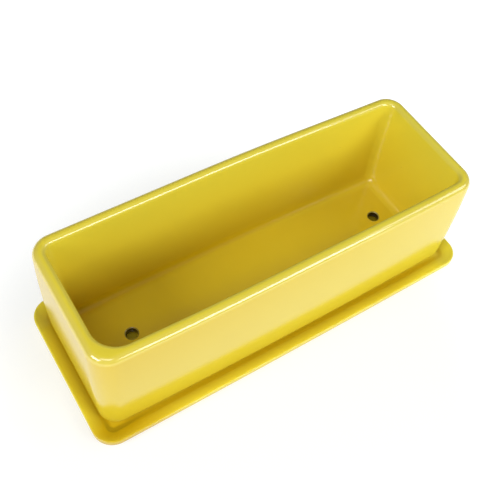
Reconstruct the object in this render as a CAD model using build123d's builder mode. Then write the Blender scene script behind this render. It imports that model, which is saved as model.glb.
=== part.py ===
# Window-sill herb planter: a long glazed trough that stands in its own shallow drip saucer.
# The origin is on the table, under the middle of the saucer. +X runs along the planter, +Y to its back, +Z up.
# All sizes are millimetres.
import os
from math import atan2, degrees

from build123d import *

# Trough, outside
rim_length = 301.2  # end to end over the rim
rim_width = 104.2  # front to back over the rim, at its ends
side_bow = 2.0  # swell of each long side at mid-length
trough_height = 94.0  # foot to rim
wall_draft = 1.7  # how far each wall leans in from rim to base
corner_radius = 15.1  # upright corners, at the rim
base_edge_radius = 4.2

# Trough, inside
rim_wall = 8.5
floor_thickness = 5.7
cavity_draft = 4.2  # how far each inner wall leans in from rim to floor
cavity_corner_radius = 7.5  # upright inner corners
full_corner_radius = 17.5  # left front inner corner, which is fuller than the others
floor_edge_radius = 6.0
rim_outer_round = 4.8
rim_inner_round = 3.5

# Trough foot ring and the notches that let the water out of it
foot_inset = 9.0
foot_width = 7.0
foot_height = 3.3
foot_corner_radius = 9.0
foot_recess_corner_radius = 5.0
water_notch_width = 14.0

# Drain holes, pierced by hand near each end, a little behind the middle
drain_diameter = 8.8
left_drain_from_end = 46.6
right_drain_from_end = 35.1
drain_line_offset = 3.5
drain_edge_round = 0.9

# Saucer
saucer_end_margin = 9.1  # reach past the trough's base at each end
saucer_side_margin = 11.6  # reach past the trough's base at front and back
saucer_bow = 0.7
saucer_corner_radius = 15.0
saucer_height = 9.7
saucer_floor = 5.0  # height of the tray floor above the table
saucer_lip = 1.2  # width of the lip's top
saucer_lip_depth = 5.1  # height of the lip's outer face
saucer_lip_round = 2.0
saucer_slope = 9.4  # run of the slope from the lip down to the tray floor
tray_floor_edge_radius = 12.0
saucer_foot_inset = 10.0
saucer_foot_width = 7.0
saucer_foot_height = 1.2
saucer_recess_corner_radius = 5.0

# Places that follow from the sizes above
base_length = rim_length - 2 * wall_draft
base_width = rim_width - 2 * wall_draft
base_height = saucer_floor + foot_height
rim_height = saucer_floor + trough_height
floor_height = base_height + floor_thickness
saucer_length = base_length + 2 * saucer_end_margin
saucer_width = base_width + 2 * saucer_side_margin
left_drain = (left_drain_from_end - rim_length / 2, drain_line_offset, floor_height)
right_drain = (rim_length / 2 - right_drain_from_end, drain_line_offset, floor_height)
largest_outer_round = 0.57 * rim_wall  # two roundings have to fit side by side on the rim
largest_inner_round = 0.42 * rim_wall
largest_lip_round = 0.48 * saucer_lip


def outline(height, length, width, bow, radius=0):
    """Rectangle at a height above the table, whose long sides swell by bow. A radius rounds its corners."""
    with BuildSketch(Plane.XY.offset(height)) as rounded:
        with BuildLine():
            front = ThreePointArc((-length / 2, -width / 2), (0, -width / 2 - bow), (length / 2, -width / 2))
            right = Line(front @ 1, (length / 2, width / 2))
            back = ThreePointArc(right @ 1, (0, width / 2 + bow), (-length / 2, width / 2))
            Line(back @ 1, front @ 0)
        make_face()
        if radius > 0:
            fillet(rounded.vertices(), radius)
    return rounded.sketch


def draft_angle(lean, depth):
    """Angle of a wall that leans in by lean over a depth."""
    return degrees(atan2(lean, depth))


# Planting space, the hollow of the trough
with BuildPart() as hollow:
    cavity_depth = rim_height - floor_height
    cavity_length = rim_length - 2 * rim_wall
    cavity_width = rim_width - 2 * rim_wall
    opening = outline(rim_height, cavity_length, cavity_width, side_bow)
    extrude(opening, amount=-cavity_depth, taper=draft_angle(cavity_draft, cavity_depth))

    # Upright corners, the three alike and then the full one at the left front
    left_front_first = Axis((0, 0, 0), (1, 1, 0))
    flat_faces = hollow.faces().filter_by(Plane.XY)
    uprights = (hollow.edges() - flat_faces.edges()).sort_by(left_front_first)
    fillet(uprights[1:], cavity_corner_radius)
    flat_faces = hollow.faces().filter_by(Plane.XY)
    uprights = (hollow.edges() - flat_faces.edges()).sort_by(left_front_first)
    fillet(uprights[0], full_corner_radius)

    # Floor edge
    fillet(hollow.faces().sort_by(Axis.Z)[0].edges(), floor_edge_radius)

# Trough
with BuildPart() as trough:
    # Outer body, from the rim down to a base that is a little smaller
    body_depth = rim_height - base_height
    rim_outline = outline(rim_height, rim_length, rim_width, side_bow, corner_radius)
    extrude(rim_outline, amount=-body_depth, taper=draft_angle(wall_draft, body_depth))
    fillet(trough.faces().sort_by(Axis.Z)[0].edges(), base_edge_radius)

    # Planting space, open at the rim
    add(hollow.part, mode=Mode.SUBTRACT)

    # Rounded rim
    rim_top = trough.faces().sort_by(Axis.Z)[-1]
    fillet(rim_top.outer_wire().edges(), min(rim_outer_round, largest_outer_round))
    rim_top = trough.faces().sort_by(Axis.Z)[-1]
    fillet(rim_top.inner_wires()[0].edges(), min(rim_inner_round, largest_inner_round))

    # Foot ring under the base
    foot_length = base_length - 2 * foot_inset
    foot_breadth = base_width - 2 * foot_inset
    extrude(outline(saucer_floor, foot_length, foot_breadth, side_bow, foot_corner_radius), amount=foot_height)
    recess_length = foot_length - 2 * foot_width
    recess_breadth = foot_breadth - 2 * foot_width
    foot_recess = outline(saucer_floor, recess_length, recess_breadth, side_bow, foot_recess_corner_radius)
    extrude(foot_recess, amount=foot_height, mode=Mode.SUBTRACT)

    # Water notches through the foot ring, at the middle of each long side
    with BuildSketch(Plane.XY.offset(saucer_floor)):
        Rectangle(water_notch_width, base_width)
    extrude(amount=foot_height, mode=Mode.SUBTRACT)

    # Drain holes with a soft upper edge
    with Locations(left_drain, right_drain):
        Hole(drain_diameter / 2, depth=floor_thickness)
    inner_floor = trough.faces().filter_by(Plane.XY).sort_by(Axis.Z)[-2]
    fillet([hole.edges()[0] for hole in inner_floor.inner_wires()], drain_edge_round)

# Saucer
with BuildPart() as saucer:
    # Underside, drawn in from the lip to the foot, and the lip's outer face above it
    lip_underside = saucer_height - saucer_lip_depth
    lip_outline = outline(lip_underside, saucer_length, saucer_width, saucer_bow, saucer_corner_radius)
    extrude(lip_outline, amount=-lip_underside, taper=draft_angle(saucer_foot_inset, lip_underside))
    extrude(lip_outline, amount=saucer_lip_depth)
    fillet(saucer.edges().filter_by_position(Axis.Z, lip_underside, lip_underside), saucer_lip_round)

    # Tray, whose sides slope gently down to a flat floor
    tray_depth = saucer_height - saucer_floor
    tray_length = saucer_length - 2 * saucer_lip
    tray_width = saucer_width - 2 * saucer_lip
    tray_outline = outline(saucer_height, tray_length, tray_width, saucer_bow, saucer_corner_radius - saucer_lip)
    tray_angle = draft_angle(saucer_slope, tray_depth)
    extrude(tray_outline, amount=-tray_depth, taper=tray_angle, mode=Mode.SUBTRACT)
    tray_floor = saucer.faces().filter_by(Plane.XY).sort_by(Axis.Z)[1]
    fillet(tray_floor.edges(), tray_floor_edge_radius)

    # Rounded lip
    lip_top = saucer.faces().sort_by(Axis.Z)[-1]
    fillet(lip_top.edges(), min(saucer_lip_round, largest_lip_round))

    # Shallow recess that leaves a foot ring on the table
    saucer_ring = saucer_foot_inset + saucer_foot_width
    recess_length = saucer_length - 2 * saucer_ring
    recess_breadth = saucer_width - 2 * saucer_ring
    saucer_recess = outline(0, recess_length, recess_breadth, saucer_bow, saucer_recess_corner_radius)
    extrude(saucer_recess, amount=saucer_foot_height, mode=Mode.SUBTRACT)

os.makedirs("parts", exist_ok=True)
trough.part.label = "planter_trough"
saucer.part.label = "saucer"
export_step(trough.part, "parts/planter_trough.step")
export_step(saucer.part, "parts/saucer.step")
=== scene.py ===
# %% [markdown]
# # Indoor herb planter
# The real object is two pieces of glazed ceramic: a long trough with two drain holes in its floor, and the
# shallow saucer that it stands in. The CAD model gives both their place, their size and the lift that takes
# the trough out of the saucer. This script dresses them: it makes each piece again as one smooth surface
# with soft, fired edges, covers it with a yellow glaze, and sets up a plain studio.

import bpy
import numpy as np
from mathutils import Matrix, Vector


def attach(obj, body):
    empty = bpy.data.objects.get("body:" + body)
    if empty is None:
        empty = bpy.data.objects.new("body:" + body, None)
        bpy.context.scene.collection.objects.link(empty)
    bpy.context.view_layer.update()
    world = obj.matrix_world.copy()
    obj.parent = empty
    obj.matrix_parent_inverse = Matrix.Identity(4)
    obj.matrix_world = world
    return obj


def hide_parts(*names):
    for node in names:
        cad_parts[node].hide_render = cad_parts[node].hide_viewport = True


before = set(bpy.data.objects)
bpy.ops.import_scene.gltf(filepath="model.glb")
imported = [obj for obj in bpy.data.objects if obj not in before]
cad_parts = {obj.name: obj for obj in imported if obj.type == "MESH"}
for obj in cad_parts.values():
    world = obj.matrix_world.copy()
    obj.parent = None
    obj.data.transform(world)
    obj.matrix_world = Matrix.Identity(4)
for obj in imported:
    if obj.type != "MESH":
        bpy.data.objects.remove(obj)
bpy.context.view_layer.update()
print("CAD nodes:", sorted(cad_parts))

# %% [markdown]
# ## Camera
# The photograph looks down on the planter from the front left, with the camera turned a little on its own
# axis. A camera could be placed by eye, but here its angles were fitted to the planter's outlines, so they
# are numbers: where it aims, from which side and height, how far away, its roll, and its focal length in
# picture pixels. The photograph was cropped off centre, and the lens shift repeats that crop.

# %% Place the camera
picture_side = 500  # pixels
focal_length = 776.73  # pixels
centre_right = 40.66  # pixels from the middle of the picture to the lens axis
centre_up = 36.18  # pixels
camera_azimuth = np.radians(-42.144)
camera_elevation = np.radians(51.894)
camera_roll = np.radians(-10.828)
camera_distance = 0.6030  # metres
aim_point = np.array([0.04244, 0.02353, 0.040])  # metres
sensor_width = 36.0  # millimetres

flat_back = np.cos(camera_elevation) * np.array([np.sin(camera_azimuth), -np.cos(camera_azimuth), 0.0])
camera_back = flat_back + np.array([0.0, 0.0, np.sin(camera_elevation)])
level_right = np.cross(-camera_back, [0.0, 0.0, 1.0])
level_right = level_right / np.linalg.norm(level_right)
level_up = np.cross(camera_back, level_right)
camera_right = np.cos(camera_roll) * level_right - np.sin(camera_roll) * level_up
camera_up = np.cos(camera_roll) * level_up + np.sin(camera_roll) * level_right

camera_data = bpy.data.cameras.new("photo_camera")
camera_data.sensor_width = sensor_width
camera_data.lens = focal_length / picture_side * sensor_width
camera_data.shift_x = -centre_right / picture_side
camera_data.shift_y = -centre_up / picture_side
camera = bpy.data.objects.new("photo_camera", camera_data)
camera_place = np.eye(4)
camera_place[:3, 0] = camera_right
camera_place[:3, 1] = camera_up
camera_place[:3, 2] = camera_back
camera_place[:3, 3] = aim_point + camera_distance * camera_back
camera.matrix_world = Matrix(camera_place.tolist())
bpy.context.scene.collection.objects.link(camera)
bpy.context.scene.camera = camera
print("camera at", camera_place[:3, 3].round(4), "lens", round(camera_data.lens, 2), "mm")

# %% [markdown]
# ## Shader maths
# A glaze is worked out from several patterns. Blender's nodes can be wired one by one, which takes many
# lines, so a small class wraps an output socket instead: arithmetic on it adds Math nodes, and one method
# adds any other node. A Mix node has a set of sockets for each kind of value, and those for colours are
# found by number.

# %% A socket that can be used in sums
mix_first = 6
mix_second = 7
mix_result = 2


class Wire:
    """An output socket of a node tree. Sums and products of wires and numbers add Math nodes."""

    def __init__(self, tree, socket=None):
        self.tree = tree
        self.socket = socket

    def node(self, kind, settings=None, inputs=None, output=0):
        """Adds a node of a kind: its settings are set first, then its sockets get values or links."""
        added = self.tree.nodes.new(kind)
        for name, value in (settings or {}).items():
            setattr(added, name, value)
        for name, value in (inputs or {}).items():
            if isinstance(value, Wire):
                self.tree.links.new(value.socket, added.inputs[name])
            else:
                added.inputs[name].default_value = value
        return Wire(self.tree, added.outputs[output])

    def sum_node(self, operation, first, second):
        """Adds a Math node for two wires or numbers."""
        return self.node("ShaderNodeMath", {"operation": operation}, {0: first, 1: second})

    def __add__(self, other):
        return self.sum_node("ADD", self, other)

    def __radd__(self, other):
        return self.sum_node("ADD", other, self)

    def __sub__(self, other):
        return self.sum_node("SUBTRACT", self, other)

    def __rsub__(self, other):
        return self.sum_node("SUBTRACT", other, self)

    def __mul__(self, other):
        return self.sum_node("MULTIPLY", self, other)

    def __rmul__(self, other):
        return self.sum_node("MULTIPLY", other, self)

    def ramp(self, low, high):
        """0 where this value is at low, 1 where it is at high, with a soft step between them."""
        ends = {"Value": self, "From Min": low, "From Max": high}
        return self.node("ShaderNodeMapRange", {"interpolation_type": "SMOOTHSTEP"}, ends)

    def blend(self, first, second):
        """A colour that is first where this value is 0 and second where it is 1."""
        colours = {"Factor": self, mix_first: first, mix_second: second}
        return self.node("ShaderNodeMix", {"data_type": "RGBA"}, colours, output=mix_result)


print("shader maths ready")

# %% [markdown]
# ## Yellow glaze
# The glaze is a layer of coloured glass over pale clay. Where it is thin it is a clear yellow, and where it
# lies deep it turns golden. The same golden colour also paints shade: on the floor inside and low on the
# hollow's walls, in the visible folds, towards the left end and at the saucer's left front corner. A dark
# brown paints the shade in the drain holes. A shallower depth paints light at the top of the hollow, low on
# the outer walls and at the saucer's right front corner. Tiny pinholes and a faint unevenness show that it
# was dipped and fired. The foot rings are wiped before firing, so there the pale clay shows. A painted image
# could hold all this, but it would have to be unwrapped. Here the meshes carry three attributes instead:
# edge says where the glaze is drawn thin over a rounding, the second how deep it lies together with the
# painted shade, and bare where the clay shows.

# %% Glaze patterns
cloud_scale = 16.0  # patterns per metre
peel_scale = 260.0
grain_scale = 1400.0
pinhole_scale = 48.0
pinhole_reach = 0.013  # share of a pattern cell
pinhole_core = 0.6  # share of the reach that is quite dark
clay_border = (0.45, 0.55)  # bare values between which the glaze gives way to the clay

glaze = bpy.data.materials.new("yellow_glaze")
glaze.use_nodes = True
tree = glaze.node_tree
glaze_nodes = Wire(tree)
place = glaze_nodes.node("ShaderNodeTexCoord", output="Object")
edge = glaze_nodes.node("ShaderNodeAttribute", {"attribute_name": "edge"}, output="Fac")
depth_and_shade = glaze_nodes.node("ShaderNodeAttribute", {"attribute_name": "depth_and_shade"}, output="Fac")
bare = glaze_nodes.node("ShaderNodeAttribute", {"attribute_name": "bare"}, output="Fac")
cloud = glaze_nodes.node("ShaderNodeTexNoise", None, {"Vector": place, "Scale": cloud_scale, "Detail": 2.0})
peel = glaze_nodes.node("ShaderNodeTexNoise", None, {"Vector": place, "Scale": peel_scale, "Detail": 1.0})
grain = glaze_nodes.node("ShaderNodeTexNoise", None, {"Vector": place, "Scale": grain_scale, "Detail": 2.0})
to_pinhole = glaze_nodes.node("ShaderNodeTexVoronoi", None, {"Vector": place, "Scale": pinhole_scale})
pinhole = 1.0 - to_pinhole.ramp(pinhole_core * pinhole_reach, pinhole_reach)
clay = bare.ramp(*clay_border)
print("patterns use", len(tree.nodes), "nodes")

# %% Glaze colour
glaze_yellow = (0.94, 0.815, 0.064, 1.0)
glaze_cloud = (0.92, 0.785, 0.056, 1.0)
# the golden colour of deep glaze, also used to paint shade
golden_glaze_and_shade = (0.66, 0.44, 0.007, 1.0)
glaze_thin = (0.76, 0.66, 0.15, 1.0)
# painted shade: a near-black brown for the drain holes and the darkest painted corner shade
dark_shade_brown = (0.03, 0.014, 0.002, 1.0)
pinhole_brown = (0.16, 0.085, 0.02, 1.0)
bare_clay = (0.72, 0.61, 0.47, 1.0)
clay_shade = (0.60, 0.49, 0.36, 1.0)
cloud_border = (0.35, 0.75)  # noise values between which one colour gives way to another
grain_border = (0.35, 0.65)
dark_shade_border = (1.0, 2.0)  # values between which the golden colour turns to the painted dark shade
thin_share = 0.5  # share of the thin glaze's colour where the edge value is 1

colour = cloud.ramp(*cloud_border).blend(glaze_yellow, glaze_cloud)
# deeper glaze and painted shade both turn the yellow golden
colour = depth_and_shade.blend(colour, golden_glaze_and_shade)
# painted shade: past 1 the colour turns dark brown, in the drain holes and the saucer's darkest corner
colour = depth_and_shade.ramp(*dark_shade_border).blend(colour, dark_shade_brown)
colour = (edge * thin_share).blend(colour, glaze_thin)
colour = pinhole.blend(colour, pinhole_brown)
colour = clay.blend(colour, grain.ramp(*grain_border).blend(bare_clay, clay_shade))
surface = tree.nodes["Principled BSDF"]
tree.links.new(colour.socket, surface.inputs["Base Color"])
print("with its colour, the glaze has", len(tree.nodes), "nodes")

# %% [markdown]
# ### Gloss and relief
# Fired glaze is glass, so its gloss comes from a high index of refraction and a low roughness. Over the rim
# it is smoothest, and a clear coat there gives the sharp white lines that the photograph shows. Relief from
# a Bump node stands for what is too fine to model: the slow waves of the glaze, its fine peel, the pinholes
# and the clay's grain.

# %% Glaze gloss and relief
glaze_index = 1.62
coat_index = 1.5
coat_roughness = 0.03
glaze_roughness = 0.15
peel_roughness = 0.05
pinhole_roughness = 0.4
bare_roughness = 0.78
wave_height = 0.000030  # metres
peel_height = 0.0000008
grain_height = 0.000040
pinhole_depth = 0.00012

roughness = glaze_roughness + peel_roughness * peel + pinhole * pinhole_roughness
roughness = roughness * (1.0 - clay) + clay * bare_roughness
height = cloud * wave_height + peel * peel_height + clay * grain * grain_height - pinhole * pinhole_depth
relief = glaze_nodes.node("ShaderNodeBump", None, {"Strength": 1.0, "Distance": 1.0, "Height": height})
coat = edge * (1.0 - clay)

tree.links.new(roughness.socket, surface.inputs["Roughness"])
tree.links.new(relief.socket, surface.inputs["Normal"])
tree.links.new(coat.socket, surface.inputs["Coat Weight"])
surface.inputs["Coat Roughness"].default_value = coat_roughness
surface.inputs["Coat IOR"].default_value = coat_index
surface.inputs["IOR"].default_value = glaze_index
print("the whole glaze has", len(tree.nodes), "nodes")

# %% [markdown]
# ## Outlines
# Seen from above, every level of the planter is a rounded rectangle whose long sides swell a little. Boxes
# with a Bevel modifier would give flat sides, so the outline is written as a formula instead: an arc for
# the long side, an arc for the corner and a straight end. One quarter is enough, and mirror images give the
# rest. Moving an outline inwards takes the same distance off its half length, its half width and both its
# radii. All shapes are worked out in millimetres, as in the CAD model.

# %% Outline formulas
notch_reach = 10.0  # the middle of the long sides gets finer steps, for the notches in the foot
half_side = 135.0  # about half of a long side
notch_steps = 14
side_steps = 56
corner_steps = 16
end_steps = 14

fine_share = np.linspace(0, notch_reach / half_side, notch_steps, endpoint=False)
coarse_share = np.linspace(notch_reach / half_side, 1, side_steps, endpoint=False)
side_share = np.hstack([fine_share, coarse_share])
corner_share = np.linspace(0, 1, corner_steps, endpoint=False)
end_share = np.linspace(0, 1, end_steps + 1)
quarter = len(side_share) + len(corner_share) + len(end_share) - 1


def plan(length, width, bow, corner):
    """Half length, half width, radius of the swelling sides and radius of the corners of an outline.

    The sides' radius comes from the swell: half the length squared plus the swell squared, over twice the
    swell.
    """
    half_length = length / 2
    return np.array([half_length, width / 2 + bow, (half_length**2 + bow**2) / (2 * bow), corner])


def inset(outline, distance):
    """The outline moved inwards by a distance, or by each of several distances."""
    return outline - np.atleast_1d(distance)[:, None]


print("points in a ring:", 4 * quarter)

# %% Rings of points
OUTLINE = slice(0, 4)  # columns of a row: outline, height, edge, depth with painted shade, and bare values
CORNER = 3
HEIGHT = 4
X, Y, Z, EDGE, DEPTH_AND_SHADE, BARE = range(6)  # columns of a point


def rings(rows):
    """Points of one outline per row at its height, with its edge, depth with painted shade, and bare values.

    A quarter runs along the side's arc, round the corner's arc and up half of the straight end. A corner's
    centre is one corner radius in from the end and lies on a circle about the side's centre. Mirror images
    of the quarter close the outline, so a ring starts at the middle of the front and runs anticlockwise.
    """
    half_length, half_width, side_radius, corner = rows[:, OUTLINE].T[:, :, None]
    side_centre = side_radius - half_width
    corner_x = half_length - corner
    corner_y = side_centre - np.sqrt((side_radius - corner) ** 2 - corner_x**2)
    side_end = np.arcsin(corner_x / (side_radius - corner))
    side_angle = side_end * side_share
    corner_angle = side_end + (np.pi / 2 - side_end) * corner_share
    side_x = side_radius * np.sin(side_angle)
    side_y = side_centre - side_radius * np.cos(side_angle)
    bend_x = corner_x + corner * np.sin(corner_angle)
    bend_y = corner_y - corner * np.cos(corner_angle)
    x = np.hstack([side_x, bend_x, half_length + 0 * end_share])
    y = np.hstack([side_y, bend_y, corner_y * (1 - end_share)])
    ring_x = np.hstack([x[:, :-1], x[:, :0:-1], -x[:, :-1], -x[:, :0:-1]])
    ring_y = np.hstack([y[:, :-1], -y[:, :0:-1], -y[:, :-1], y[:, :0:-1]])
    rest = np.repeat(rows[:, None, HEIGHT:], ring_x.shape[1], axis=1)
    return np.concatenate([ring_x[:, :, None], ring_y[:, :, None], rest], axis=2)


print("a point has", BARE + 1, "columns")

# %% [markdown]
# ## Profiles
# Cut across, a wall of the planter is a chain of straight runs and rounded bends. The chain is carried
# round the outline, which is how a mould maker draws such a shape too. Each row of a chain holds an
# outline, a height, and how thin, how deep and how bare the glaze is there, where the depth also carries
# painted shade. A bend is part of a circle, and its angle is 0 where it faces straight out and a quarter
# turn where it faces up.

# %% Bends and runs
bend_steps = 10
glaze_depth = 0.64  # how deep the glaze lies on most walls, where 1 is a full pool
down = -np.pi / 2
outward = 0.0
up = np.pi / 2
inward = np.pi
down_past_inward = 1.5 * np.pi


def bend(outline, centre_inset, centre_height, radius, start, stop,
         edge=0.0, depth_and_shade=0.0, deep=(glaze_depth, glaze_depth), bare=(0.0, 0.0)):
    """Rows of a rounding: points on a circle about a centre that lies inside the outline by an inset.

    The angle, the glaze's depth with its painted shade, and the bare value go evenly from their first to
    their last value. The edge value, and what a fold adds to the depth, which is pooled glaze in the folds
    by the feet and painted shade in the floor's and the tray's folds, rise and fall again as half a sine
    wave does.
    """
    angle = np.linspace(start, stop, bend_steps + 1)
    swell = np.sin(np.linspace(0, np.pi, bend_steps + 1))
    outlines = inset(outline, centre_inset - radius * np.cos(angle))
    heights = centre_height + radius * np.sin(angle)
    wiped = np.linspace(bare[0], bare[1], bend_steps + 1)
    depth_and_shade_rows = np.linspace(deep[0], deep[1], bend_steps + 1) + depth_and_shade * swell
    return np.column_stack([outlines, heights, edge * swell, depth_and_shade_rows, wiped])


def chain(first, *others):
    """Rows of bends joined by straight runs. A number before a bend gives how many rows its run has."""
    rows = first
    for steps, part in zip(others[::2], others[1::2]):
        share = np.linspace(0, 1, steps + 2)[1:-1, None]
        rows = np.vstack([rows, rows[-1] + share * (part[0] - rows[-1]), part])
    return rows


print("a bend has", bend_steps + 1, "rows")

# %% [markdown]
# ## From grids to one closed skin
# A piece is made of a few grids that meet along shared rings. Modelling by hand, one would join them and
# merge the doubles, and the code does the same: it numbers the faces of each grid, then gives points in the
# same place the same number. The volume inside is above 0 if the faces point outwards, and a closed skin
# has no open edges.

# %% Join grids into a mesh
MM = 0.001  # metres
weld_distance = 0.0001  # millimetres
attribute_columns = {"edge": EDGE, "depth_and_shade": DEPTH_AND_SHADE, "bare": BARE}


def grid_faces(rows, columns, closed):
    """Corner numbers of a grid's faces. A closed grid joins its last column to its first."""
    number = np.arange(rows * columns).reshape(rows, columns)
    if closed:
        number = np.hstack([number, number[:, :1]])
    corners = [number[:-1, :-1], number[:-1, 1:], number[1:, 1:], number[1:, :-1]]
    return np.stack(corners, axis=-1).reshape(-1, 4)


def skin(name, grids):
    """One object from grids of points in millimetres. Points closer than the weld distance become one."""
    faces = []
    points = []
    count = 0
    for grid, closed in grids:
        faces.append(grid_faces(grid.shape[0], grid.shape[1], closed) + count)
        points.append(grid.reshape(-1, grid.shape[2]))
        count += grid.shape[0] * grid.shape[1]
    points = np.vstack(points)
    key = np.round(points[:, :EDGE] / weld_distance).astype(np.int64)
    first, number = np.unique(key, axis=0, return_index=True, return_inverse=True)[1:]
    points = points[first]
    faces = number.ravel()[np.vstack(faces)]
    corners = points[:, :EDGE][faces]
    halves = np.vstack([corners[:, [0, 1, 2]], corners[:, [0, 2, 3]]])
    volume = np.einsum("ij,ij->", halves[:, 0], np.cross(halves[:, 1], halves[:, 2])) / 6
    mesh = bpy.data.meshes.new(name)
    mesh.from_pydata(points[:, :EDGE] * MM, [], faces)
    for attribute, column in attribute_columns.items():
        layer = mesh.attributes.new(attribute, "FLOAT", "POINT")
        layer.data.foreach_set("value", points[:, column].astype(np.float32))
    mesh.materials.append(glaze)
    mesh.shade_smooth()
    piece = bpy.data.objects.new(name, mesh)
    bpy.context.scene.collection.objects.link(piece)
    print(name, len(points), "points", len(faces), "faces, volume", round(volume / 1000), "cm3")
    print(name, "open edges:", 4 * len(faces) - 2 * len(mesh.edges))
    return piece


print("attributes on each mesh:", list(attribute_columns))

# %% [markdown]
# ## Trough, its walls
# The trough is cast as one body. Its outside leans in slightly towards the base, its inside a little more,
# so the wall is thickest low down. Underneath, a foot ring keeps the base off the saucer, and the glaze
# gathers in the folds beside it. A stack of extruded boxes would need many bevels, so the wall is a chain
# of bends. It starts inside the foot ring, runs out and up over the rim, and ends where the inner walls
# meet the floor.

# %% Trough sizes
rim_outline = plan(length=301.2, width=104.2, bow=2.0, corner=15.1)
cavity_outline = plan(length=284.2, width=87.2, bow=2.0, corner=7.5)
foot_outline = plan(length=279.8, width=82.8, bow=2.0, corner=9.0)
recess_outline = plan(length=265.8, width=68.8, bow=2.0, corner=5.0)
foot_level = 5.0  # heights above the table
base_level = 8.3
floor_level = 14.0
rim_level = 99.0
wall_draft = 1.7  # how far the outer walls lean in from rim to base
cavity_draft = 4.2  # how far the inner walls lean in from rim to floor
wall_lean = np.arctan2(wall_draft, rim_level - base_level)
cavity_lean = np.arctan2(cavity_draft, rim_level - floor_level)


def outer_inset(height, radius):
    """Inset of a bend's centre that touches the leaning outer wall from inside, at a height."""
    return (rim_level - height) * np.tan(wall_lean) + radius / np.cos(wall_lean)


def inner_inset(height, radius):
    """Inset of a bend's centre that touches the leaning inner wall. A radius below 0 is in the clay."""
    return (rim_level - height) * np.tan(cavity_lean) + radius / np.cos(cavity_lean)


print("walls lean by", np.degrees([wall_lean, cavity_lean]).round(2), "degrees")

# %% Foot ring and base
foot_round = 0.9
fold_round = 1.0
base_round = 4.2
fold_pool = 0.6  # how much deeper the glaze is in the folds beside the foot
base_edge = 0.35  # how far the glaze is drawn thin over the base's edge
base_light_depth = 0.4  # how deep it lies above that edge; a shallower depth paints the lower outer wall lighter, as painted light

fold_height = base_level - fold_round
foot_height = foot_level + foot_round
recess_fold = bend(recess_outline, fold_round, fold_height, fold_round, up, outward, depth_and_shade=fold_pool)
foot_inside = bend(recess_outline, -foot_round, foot_height, foot_round, inward, down_past_inward,
                   bare=(0, 1))
foot_outside = bend(foot_outline, foot_round, foot_height, foot_round, down, outward, bare=(1, 0))
foot_fold = bend(foot_outline, -fold_round, fold_height, fold_round, inward, up, depth_and_shade=fold_pool)
base_height = base_level + base_round
base_inset = outer_inset(base_height, base_round)
base_bend = bend(rim_outline, base_inset, base_height, base_round, down, -wall_lean,
                 edge=base_edge, deep=(glaze_depth, base_light_depth))
foot_chain = chain(recess_fold, 1, foot_inside, 2, foot_outside, 1, foot_fold, 2, base_bend)
print("foot and base:", len(foot_chain), "rows")

# %% [markdown]
# ### Rim and hollow
# The rim is nearly a half circle, and the glaze runs thin over it. The hollow's walls are painted lightest
# at the top and darker and more golden on the way down, as painted shade, darkest in the fold at the floor.

# %% Rim and floor edge
rim_outer_round = 4.8
rim_inner_round = 3.5
floor_round = 6.0
rim_outer_edge = 1.0  # how far the glaze is drawn thin
rim_inner_edge = 0.7
rim_depth = 0.25  # how deep the glaze lies on the rim; below it the hollow's top is painted light, its floor dark
# painted light at the top of the hollow's walls, painted shade on its floor
hollow_top_light = 0.0
floor_shade_depth = 0.68
floor_fold_shade = 0.27  # how much painted shade darkens the floor's fold

rim_outer_level = rim_level - rim_outer_round
rim_outer_inset = outer_inset(rim_outer_level, rim_outer_round)
rim_outside = bend(rim_outline, rim_outer_inset, rim_outer_level, rim_outer_round, -wall_lean, up,
                   edge=rim_outer_edge, deep=(glaze_depth, rim_depth))
rim_inner_level = rim_level - rim_inner_round
rim_inner_inset = inner_inset(rim_inner_level, -rim_inner_round)
rim_inside = bend(cavity_outline, rim_inner_inset, rim_inner_level, rim_inner_round, up, inward - cavity_lean,
                  edge=rim_inner_edge, deep=(rim_depth, hollow_top_light))
floor_height = floor_level + floor_round
# The hollow's corners keep their radius down to the floor, so what the inset takes off it is added before
floor_outline = cavity_outline + np.array([0, 0, 0, inner_inset(floor_height, 0.0)])
floor_inset = inner_inset(floor_height, floor_round)
floor_bend = bend(floor_outline, floor_inset, floor_height, floor_round, -cavity_lean, down,
                  depth_and_shade=floor_fold_shade, deep=(floor_shade_depth, floor_shade_depth))
print("rim is", 2 * rim_outline[0], "mm long, the hollow", 2 * cavity_outline[0], "mm")

# %% Trough rings
wall_rows = 16
rim_top_rows = 1
wall_swell = 0.9  # how far the outer walls stand proud at half height, falling off as a parabola
full_corner_extra = 10.0  # the hollow's left front corner is rounder than the others by this radius
inner_left_shade = 0.35  # painted shade: the hollow is darker towards the left end by this share
# and the outer walls by this share, as painted shade
outer_left_shade = 0.22
left_front = slice(3 * quarter, None)  # the last quarter of a ring


def left_end_shade(along, share):
    """Factor for the depth and painted shade along the planter: 1 at the middle, a share more at the left
    end.

    It falls in a straight line, so it is the same share less at the right end.
    """
    return 1 - share * along / rim_outline[0]


trough_rows = chain(foot_chain, wall_rows, rim_outside, rim_top_rows, rim_inside, wall_rows, floor_bend)
hollow_start = len(trough_rows) - len(rim_inside) - wall_rows - len(floor_bend)
wall_end = hollow_start - rim_top_rows - len(rim_outside)
swell_share = np.linspace(0, 1, wall_rows + 2)[1:-1, None]
trough_rows[wall_end - wall_rows:wall_end, OUTLINE] += 4 * wall_swell * swell_share * (1 - swell_share)
full_rows = trough_rows.copy()
full_rows[hollow_start:, CORNER] += full_corner_extra
trough_rings = rings(trough_rows)
trough_rings[:, left_front] = rings(full_rows)[:, left_front]
# painted shade: darker towards the left end, outside and inside the hollow
trough_rings[:hollow_start, :, DEPTH_AND_SHADE] *= left_end_shade(trough_rings[:hollow_start, :, X], outer_left_shade)
trough_rings[hollow_start:, :, DEPTH_AND_SHADE] *= left_end_shade(trough_rings[hollow_start:, :, X], inner_left_shade)
print("trough rings:", trough_rings.shape)

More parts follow.
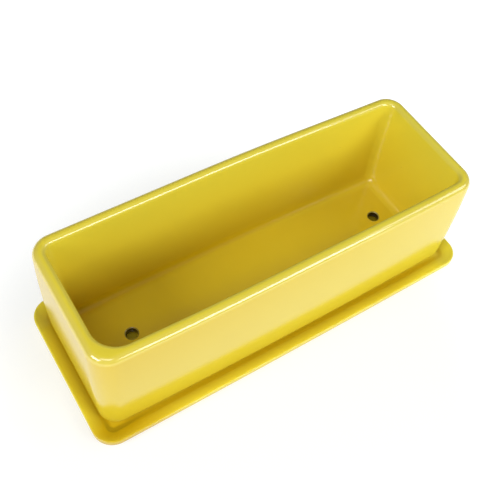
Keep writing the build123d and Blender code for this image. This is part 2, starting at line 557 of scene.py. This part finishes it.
# %% [markdown]
# ## Trough, foot notches and fired shape
# A notch at the middle of each long side of the foot lets water out. The notches could be cut with a
# Boolean modifier, but then their edges would be sharp. Lifting the foot ring's points up to the base over
# a short stretch gives the soft notch that a wet sponge leaves. A fired trough is never quite true either:
# its rim wanders by a fraction of a millimetre, which keeps the highlights alive.

# %% Notches and wander
notch_half_width = 7.0
notch_softness = 0.8
notch_rest = 0.02  # share of the foot's height that stays in a notch
rim_wander = 0.22  # sideways
wander_length = 190.0
wander_phase = 0.7  # radians
rim_dip = 0.18  # up and down
dip_length = 240.0
dip_phase = 2.1  # radians


def soft_step(value, low, high):
    """0 below low, 1 above high, and the curve 3t squared minus 2t cubed between them."""
    share = np.clip((value - low) / (high - low), 0, 1)
    return share * share * (3 - 2 * share)


def cut_notches(points):
    """Lifts the foot ring to the base within the notches. The wiped clay goes with it."""
    low = np.minimum(points[:, :, Z] - base_level, 0)
    from_middle = np.abs(points[:, :, X])
    keep = soft_step(from_middle, notch_half_width - notch_softness, notch_half_width + notch_softness)
    keep = notch_rest + (1 - notch_rest) * keep
    points[:, :, Z] -= low * (1 - keep)
    points[:, :, BARE] *= keep
    return points


def fire(points):
    """Moves points by slow sine waves along the planter, more the higher they are above the floor."""
    share = np.clip((points[:, :, Z] - floor_level) / (rim_level - floor_level), 0, 1)
    along = points[:, :, X]
    points[:, :, Y] += rim_wander * share * np.sin(2 * np.pi * along / wander_length + wander_phase)
    points[:, :, Z] += rim_dip * share * np.sin(2 * np.pi * along / dip_length + dip_phase)
    return points


trough_rings = fire(cut_notches(trough_rings))
rim_heights = trough_rings[:, :, Z].max(axis=0)
print("rim height from", rim_heights.min().round(2), "to", rim_heights.max().round(2))

# %% [markdown]
# ## Trough, floor and drain holes
# The floor is flat, with a hole near each end. A flat face with two holes cannot be one simple grid, so the
# floor is parted in the middle, and each half is a grid of rays from its outline to its hole. The rays go
# on round the hole's soft upper edge, down its wall, and out again under the base, so no cutter is needed
# and no edge is ragged.

# %% Rays to a drain hole
drain_radius = 4.4
drain_round = 0.9
drain_lower_round = 0.5
drain_shade_depth = 2.0  # the holes' walls are painted dark brown, as painted shade
seam_steps = 30
flat_steps = 7
arc_steps = 7


def half_loop(ring, start):
    """Half of a ring, closed along the middle of the planter by a straight seam."""
    half = np.take(ring, np.arange(start, start + 2 * quarter + 1), axis=0, mode="wrap")
    front = ring[0]
    back = ring[2 * quarter]
    share = np.linspace(0, 1, seam_steps + 2)[1:-1, None]
    seam = front + share * (back - front)
    return np.vstack([half, seam if start else seam[::-1]])


def drain_grid(floor_loop, under_loop, centre):
    """Rays from the floor's outline to the hole, down its wall and out under the base.

    Along a ray the distance from the hole's centre falls evenly to the rounding's edge, follows a quarter
    circle into the wall, and grows again below. The direction is the upper outline's as far as the hole's
    upper edge, and the lower outline's from its lower edge on.
    """
    upper = floor_loop[:, :Z] - centre
    lower = under_loop[:, :Z] - centre
    upper_reach = np.hypot(upper[:, X], upper[:, Y])
    lower_reach = np.hypot(lower[:, X], lower[:, Y])
    upper_turn = np.arctan2(upper[:, Y], upper[:, X])
    twist = np.arctan2(lower[:, Y], lower[:, X]) - upper_turn
    twist = (twist + np.pi) % (2 * np.pi) - np.pi

    flat = np.linspace(0, 1, flat_steps + 1)[:, None]
    arc = np.linspace(0, np.pi / 2, arc_steps + 1)[1:, None]
    mouth = drain_radius + drain_round
    foot = drain_radius + drain_lower_round
    one = np.ones(len(floor_loop))
    top_reach = upper_reach + flat * (mouth - upper_reach)
    mouth_reach = (mouth - drain_round * np.sin(arc)) * one
    foot_reach = (foot - drain_lower_round * np.cos(arc)) * one
    under_reach = foot + flat[1:] * (lower_reach - foot)
    reach = np.vstack([top_reach, mouth_reach, foot_reach, under_reach])

    top_height = np.full(len(top_reach), floor_level)
    mouth_height = floor_level - drain_round * (1 - np.cos(arc[:, 0]))
    foot_height = base_level + drain_lower_round * (1 - np.sin(arc[:, 0]))
    under_height = np.full(len(under_reach), base_level)
    height = np.hstack([top_height, mouth_height, foot_height, under_height])
    mouth_start = len(top_reach)
    foot_start = mouth_start + arc_steps
    foot_end = foot_start + arc_steps
    turned = np.arange(len(reach)) >= foot_start
    direction = upper_turn + turned[:, None] * twist

    grid = np.zeros((len(reach), len(floor_loop), BARE + 1))
    grid[:, :, X] = centre[0] + reach * np.cos(direction)
    grid[:, :, Y] = centre[1] + reach * np.sin(direction)
    grid[:, :, Z] = height[:, None]
    grid[mouth_start:foot_start, :, EDGE] = np.sin(2 * arc)
    # the floor round the hole carries the floor's painted shade
    grid[:mouth_start, :, DEPTH_AND_SHADE] = floor_shade_depth
    # the hole's wall is painted dark, as painted shade
    grid[mouth_start:foot_end - 1, :, DEPTH_AND_SHADE] = drain_shade_depth
    grid[foot_end - 1:, :, DEPTH_AND_SHADE] = glaze_depth
    grid[0] = floor_loop
    grid[-1] = under_loop
    return grid


print("a ray has", 2 * flat_steps + 1 + 2 * arc_steps, "points")

# %% Trough skin
right_drain = (115.5, 3.5)
left_drain = (-104.0, 3.5)
right_half = 0  # where a half starts on a ring
left_half = 2 * quarter

floor_ring = trough_rings[-1]
under_ring = trough_rings[0]
right_floor = drain_grid(half_loop(floor_ring, right_half), half_loop(under_ring, right_half), right_drain)
left_floor = drain_grid(half_loop(floor_ring, left_half), half_loop(under_ring, left_half), left_drain)
trough = skin("glazed_trough", [(trough_rings, True), (right_floor, True), (left_floor, True)])
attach(trough, "trough")
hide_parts("planter_trough")

# %% [markdown]
# ## Saucer
# The saucer is a low tray with a narrow lip. Its inside slopes gently from the lip to a flat floor, its
# underside runs in to a shallow foot ring on the table. It is the same kind of chain as the trough's. The
# glaze is thin on the lip. At the foot of the slope, beside the trough, shade is painted as a darker, more
# golden glaze. The left front corner is painted darker still, as painted shade, and the right front corner
# paler, as painted light.

# %% Saucer sizes
saucer_outline = plan(length=316.0, width=124.0, bow=0.7, corner=15.0)
saucer_recess = plan(length=282.0, width=90.0, bow=0.7, corner=5.0)
saucer_foot_height = 1.2
lip_under_level = 4.6  # where the lip's outer face starts
tray_level = 5.0
lip_level = 9.7
lip_width = 1.2
tray_slope_run = 9.4
saucer_foot_inset = 10.0

under_slope = np.arctan2(lip_under_level, saucer_foot_inset)
under_facing = under_slope - np.pi / 2
tray_slope = np.arctan2(lip_level - tray_level, tray_slope_run)
tray_facing = np.pi / 2 + tray_slope
print("underside and tray slope by", np.degrees([under_slope, tray_slope]).round(1), "degrees")

# %% Saucer underside
saucer_fold = 0.7
saucer_foot_edge = 0.4
saucer_foot_round = 2.0
lip_under_round = 2.0
saucer_fold_pool = 0.4  # how much deeper the glaze is in the fold inside the foot
lip_under_edge = 0.1  # how far it is drawn thin under the lip

saucer_fold_level = saucer_foot_height - saucer_fold
saucer_foot_centre = saucer_foot_inset + saucer_foot_round * np.tan(under_slope / 2)
lip_under_centre = lip_under_level + lip_under_round * (1 / np.cos(under_slope) - np.tan(under_slope))
saucer_recess_fold = bend(saucer_recess, saucer_fold, saucer_fold_level, saucer_fold, up, outward,
                          depth_and_shade=saucer_fold_pool)
saucer_foot_inside = bend(saucer_recess, -saucer_foot_edge, saucer_foot_edge, saucer_foot_edge,
                          inward, down_past_inward, bare=(0, 1))
saucer_foot_outside = bend(saucer_outline, saucer_foot_centre, saucer_foot_round, saucer_foot_round,
                           down, under_facing, bare=(1, 0))
lip_under = bend(saucer_outline, lip_under_round, lip_under_centre, lip_under_round, under_facing, outward,
                 edge=lip_under_edge)
under_chain = chain(saucer_recess_fold, 0, saucer_foot_inside, 2, saucer_foot_outside, 4, lip_under)
print("saucer's underside:", len(under_chain), "rows")

# %% Saucer lip and tray
lip_round = 0.576
tray_round = 12.0
lip_outer_edge = 0.15  # how far the glaze is drawn thin
lip_inner_edge = 0.1
lip_depth = 0.2  # how deep it lies on the lip
tray_fold_shade = 0.5  # how much painted shade darkens the foot of the slope, beside the trough
corner_border = (1.5, 1.85)  # shares of the way to a corner, along plus across
left_corner_shade = 0.6  # how much painted shade darkens the left front corner
right_corner_light = 0.45  # how much painted light makes the right front corner paler
# the left corner's painted shade may reach past 1, into the dark brown
deepest = 1.4

lip_height = lip_level - lip_round
lip_inner_centre = lip_width - lip_round * np.tan(tray_slope / 2)
tray_centre = lip_width + tray_slope_run + tray_round * np.tan(tray_slope / 2)
lip_outside = bend(saucer_outline, lip_round, lip_height, lip_round, outward, up,
                   edge=lip_outer_edge, deep=(lip_depth, lip_depth))
lip_inside = bend(saucer_outline, lip_inner_centre, lip_height, lip_round, up, tray_facing,
                  edge=lip_inner_edge, deep=(lip_depth, lip_depth))
tray_bend = bend(saucer_outline, tray_centre, tray_level + tray_round, tray_round, tray_facing - np.pi, down,
                 depth_and_shade=tray_fold_shade)
saucer_rings = rings(chain(under_chain, 1, lip_outside, 2, lip_inside, 4, tray_bend))
to_right = saucer_rings[:, :, X] / saucer_outline[0]
to_front = -saucer_rings[:, :, Y] / saucer_outline[1]
# painted shade in the left front corner, painted light in the right front corner
painted_shade_gain = left_corner_shade * soft_step(to_front - to_right, *corner_border)
painted_light_gain = right_corner_light * soft_step(to_front + to_right, *corner_border)
saucer_rings[:, :, DEPTH_AND_SHADE] = np.clip(saucer_rings[:, :, DEPTH_AND_SHADE] + painted_shade_gain - painted_light_gain, 0, deepest)
print("saucer rings:", saucer_rings.shape)

# %% [markdown]
# ### Saucer's flat middles
# The saucer's floor and its underside have no holes, so each is filled by a patch that blends the four
# sides of its outline, as stretched cloth would. An n-gon would do for a flat face too, but it shades badly
# at its rim. The lip is warped a little first, as thin fired trays are.

# %% Saucer floor and underside
lip_warp = 0.15
warp_length = 210.0
warp_phase = 1.3  # radians


def fill(ring):
    """A patch with four sides inside a ring, cut at the middles of its corners.

    It adds the blend of front and back to the blend of left and right and takes off the blend of the four
    corners.
    """
    corner = len(side_share) + corner_steps // 2
    half_turn = 2 * quarter
    front_numbers = np.arange(-corner, corner + 1)
    back_numbers = np.arange(half_turn + corner, half_turn - corner - 1, -1)
    left_numbers = np.arange(2 * half_turn - corner, half_turn + corner - 1, -1)
    right_numbers = np.arange(corner, half_turn - corner + 1)
    front = np.take(ring, front_numbers, axis=0, mode="wrap")[None]
    back = np.take(ring, back_numbers, axis=0, mode="wrap")[None]
    left = np.take(ring, left_numbers, axis=0, mode="wrap")[:, None]
    right = np.take(ring, right_numbers, axis=0, mode="wrap")[:, None]
    u = np.linspace(0, 1, front.shape[1])[None, :, None]
    v = np.linspace(0, 1, left.shape[0])[:, None, None]
    near = (1 - u) * front[:, :1] + u * front[:, -1:]
    far = (1 - u) * back[:, :1] + u * back[:, -1:]
    return (1 - v) * (front - near) + v * (back - far) + (1 - u) * left + u * right


lip_share = np.clip((saucer_rings[:, :, Z] - tray_level) / (lip_level - tray_level), 0, 1)
warp_angle = 2 * np.pi * saucer_rings[:, :, X] / warp_length + warp_phase
saucer_rings[:, :, Z] += lip_warp * lip_share * np.sin(warp_angle)
tray_floor = fill(saucer_rings[-1])
underside = fill(saucer_rings[0])[::-1]
saucer = skin("glazed_saucer", [(saucer_rings, True), (tray_floor, False), (underside, False)])
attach(saucer, "saucer")
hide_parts("saucer")

# %% [markdown]
# ## Table
# The planter stands on a plain white table, lit from below as for product photographs. Its reflection is
# what makes the upright walls look pale, so it is a real surface that the glaze can mirror, and not only a
# bright background. White paint would also throw the lamps' light up at the walls and show their shadows.
# Paint of a middle grey that glows does so less and still looks white. The glow is weaker at the planter's
# front left, where the lamps are strongest.

# %% Lit table
table_half = 3.0  # metres
table_grey = (0.50, 0.50, 0.497, 1.0)
table_roughness = 0.8
table_specular = 0.1
near_glow = 0.55
far_glow = 0.85
glow_centre = (-0.04, -0.06, 0.0)
glow_border = (0.14, 0.27)  # metres from the centre, between which the glow grows
glow_tint = (0.98, 1.0, 1.01)

table_mesh = bpy.data.meshes.new("white_table")
table_corners = table_half * np.array([[-1, -1, 0], [1, -1, 0], [1, 1, 0], [-1, 1, 0]])
table_mesh.from_pydata(table_corners, [], [(0, 1, 2, 3)])
table_paint = bpy.data.materials.new("table_paint")
table_paint.use_nodes = True
table_tree = table_paint.node_tree
table_nodes = Wire(table_tree)
table_place = table_nodes.node("ShaderNodeTexCoord", output="Object")
glow_ends = {0: table_place, 1: glow_centre}
from_centre = table_nodes.node("ShaderNodeVectorMath", {"operation": "DISTANCE"}, glow_ends, output="Value")
glow = near_glow + (far_glow - near_glow) * from_centre.ramp(*glow_border)
glow_parts = {0: glow_tint, "Scale": glow}
glow_colour = table_nodes.node("ShaderNodeVectorMath", {"operation": "SCALE"}, glow_parts)

table_surface = table_tree.nodes["Principled BSDF"]
table_tree.links.new(glow_colour.socket, table_surface.inputs["Emission Color"])
table_surface.inputs["Emission Strength"].default_value = 1.0
table_surface.inputs["Base Color"].default_value = table_grey
table_surface.inputs["Roughness"].default_value = table_roughness
table_surface.inputs["Specular IOR Level"].default_value = table_specular
table_mesh.materials.append(table_paint)
table = bpy.data.objects.new("white_table", table_mesh)
bpy.context.scene.collection.objects.link(table)
print("table is", 2 * table_half, "m wide")

# %% [markdown]
# ## Light
# The photograph's highlights and shades tell where its lamps stood. The thin line on the front rim mirrors
# a softbox in front, which also lights the inside of the back wall. One at the left lights the left wall
# and the inside of the right end, and its reflection is the dash on the near corner. A weak one at the
# right keeps the front wall bright towards that end, and a weak one high at the left reaches the floor
# inside. The room around them is dim, because a bright one would be mirrored in the glazed floor as a grey
# haze.

# %% Softboxes and room
light_target = Vector((0.0, 0.0, 0.05))  # metres
lamp_distance = 1.3  # metres
room_brightness = 0.15


def softbox(name, azimuth, elevation, width, height, watts):
    """An area lamp at an azimuth from the front and an elevation, both in degrees, facing the planter."""
    lamp = bpy.data.lights.new(name, "AREA")
    lamp.shape = "RECTANGLE"
    lamp.size = width
    lamp.size_y = height
    lamp.energy = watts
    turn = np.radians(azimuth)
    rise = np.radians(elevation)
    toward = Vector((np.cos(rise) * np.sin(turn), -np.cos(rise) * np.cos(turn), np.sin(rise)))
    facing = toward.to_track_quat("Z", "Y").to_matrix().to_4x4()
    stand = bpy.data.objects.new(name, lamp)
    stand.matrix_world = Matrix.Translation(light_target + lamp_distance * toward) @ facing
    bpy.context.scene.collection.objects.link(stand)


softbox("front_softbox", azimuth=19, elevation=30, width=0.70, height=0.46, watts=7.1)
softbox("left_softbox", azimuth=-82, elevation=35, width=0.60, height=0.45, watts=7.4)
softbox("right_softbox", azimuth=60, elevation=38, width=0.55, height=0.45, watts=2.6)
softbox("high_softbox", azimuth=-50, elevation=62, width=0.60, height=0.45, watts=2.8)
room = bpy.data.worlds.new("dim_room")
room.use_nodes = True
room_light = room.node_tree.nodes["Background"]
room_light.inputs["Color"].default_value = (1.0, 1.0, 1.0, 1.0)
room_light.inputs["Strength"].default_value = room_brightness
bpy.context.scene.world = room
bpy.context.scene.view_settings.view_transform = "Standard"
print("lamps:", [lamp.name for lamp in bpy.data.lights])
